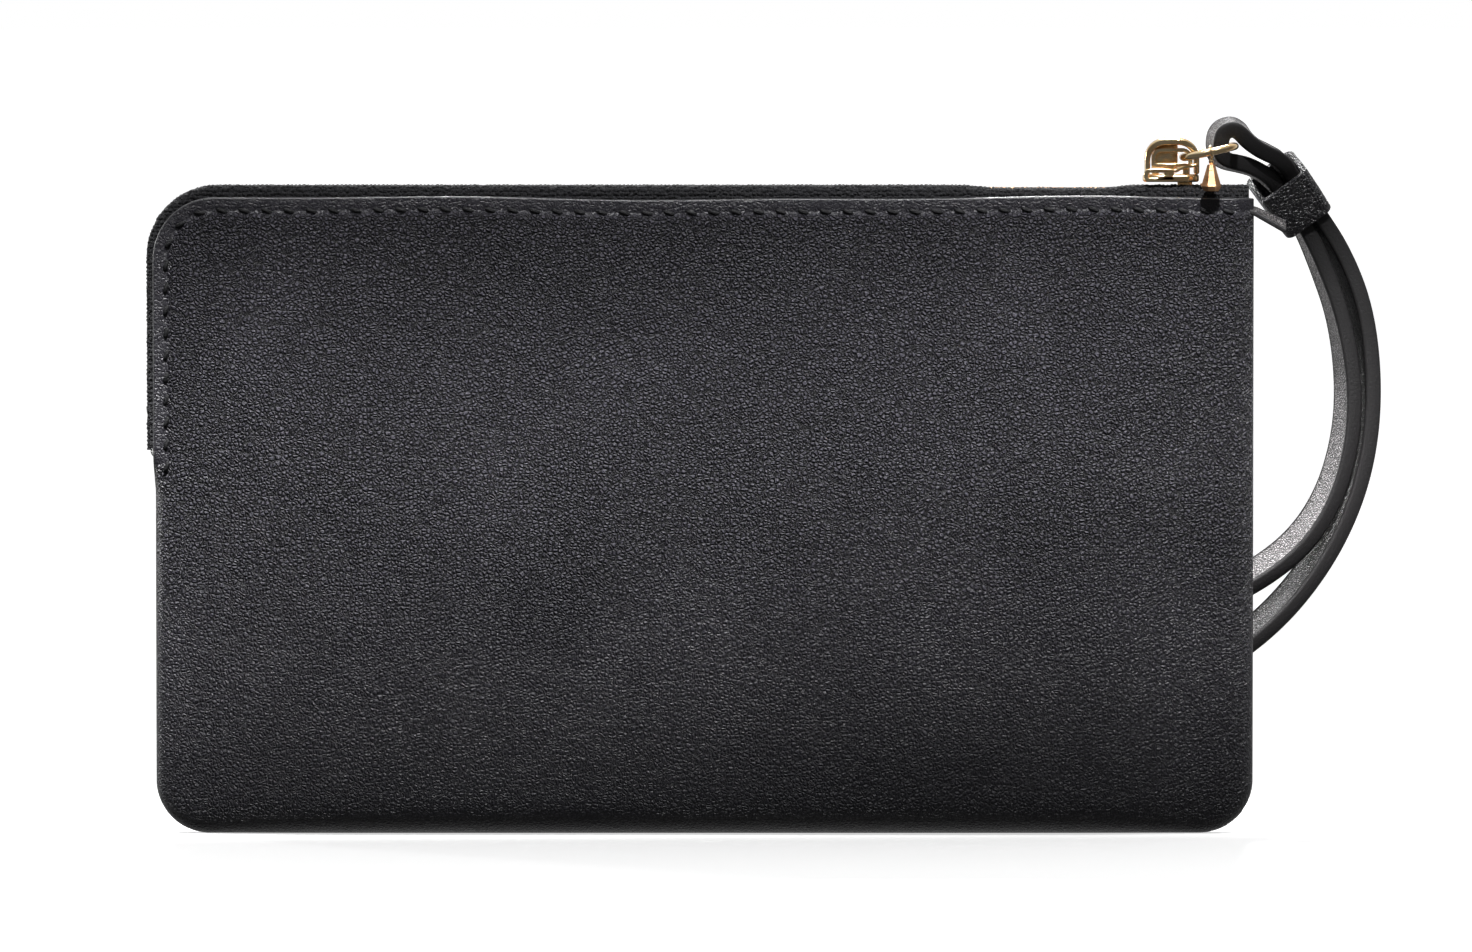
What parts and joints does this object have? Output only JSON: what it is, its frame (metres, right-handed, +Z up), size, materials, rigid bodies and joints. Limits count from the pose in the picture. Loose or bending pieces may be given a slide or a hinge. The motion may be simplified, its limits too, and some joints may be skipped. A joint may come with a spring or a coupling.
{
  "type": "wristlet wallet",
  "caption": "Flat leather pouch with a zip along the top and round one corner, a gold slider, and a looped wrist strap held by a sleeve.",
  "frame": {"origin": "middle of the flat base that the pouch stands on, between the two leather panels", "axes": "+Z up, +X towards the closed end of the zip and the strap, -Y towards the plain back panel"},
  "size_m": [0.1838, 0.024, 0.1073],
  "materials": {
    "leather_panel": "fine pebble grain, satin",
    "leather_strap": "smooth, painted edges",
    "leather_backing": "fine grain, satin",
    "lining": "plain weave",
    "pocket": "plain weave",
    "board": "pressed fibre",
    "zip_tape": "herringbone weave",
    "zip_metal": "warm antique brass",
    "gold_metal": "polished light gold",
    "thread": "waxed thread"
  },
  "bodies": {
    "pouch": {"back_panel": "leather_panel", "front_panel": "leather_panel", "back_stiffener": "board", "front_stiffener": "board", "back_lining": "lining", "front_lining": "lining", "card_pocket_1": "pocket", "card_pocket_2": "pocket", "card_pocket_3": "pocket", "slip_pocket": "pocket", "zip_tape_back": "zip_tape", "zip_tape_front": "zip_tape", "zip_teeth_back": "zip_metal", "zip_teeth_front": "zip_metal", "zip_bottom_stop": "zip_metal", "zip_top_stops": "zip_metal", "zip_end_tab": "leather_strap", "stitching_back": "thread", "stitching_front": "thread"},
    "slider": {"slider_body": "gold_metal", "slider_cap": "gold_metal"},
    "lever": {"slider_lock_lever": "gold_metal"},
    "link": {"strap_link": "gold_metal"},
    "drop": {"drop_pin": "gold_metal", "faceted_drop": "gold_metal"},
    "strap": {"wrist_strap": "leather_strap", "strap_backing": "leather_backing", "strap_keeper": "leather_strap"}
  },
  "joints": [
    {"name": "zip_slide", "type": "slide", "parent": "pouch", "child": "slider", "axis": [1, 0, 0], "range_m": [-0.136, 0], "deforming": ["zip_teeth_back", "zip_teeth_front"]},
    {"name": "lever_tilt", "type": "hinge", "parent": "slider", "child": "lever", "pos_m": [0.0673, 0, 0.0999], "axis": [0, -1, 0], "range_deg": [0, 2.5]},
    {"name": "link_swing", "type": "hinge", "parent": "slider", "child": "link", "pos_m": [0.0719, 0, 0.101], "axis": [0, -1, 0], "range_deg": [0, 70]},
    {"name": "drop_swing", "type": "hinge", "parent": "link", "child": "drop", "pos_m": [0.0758, -0.0053, 0.10187], "axis": [0.9759, 0, 0.2183], "range_deg": [-60, 3]},
    {"name": "strap_swing", "type": "hinge", "parent": "link", "child": "strap", "pos_m": [0.0795, 0, 0.1027], "axis": [0, -1, 0], "range_deg": [-8, 50]}
  ],
  "couplings": [
    {"joint": "lever_tilt", "follows": "link_swing", "ratio": 0.035714}
  ]
}
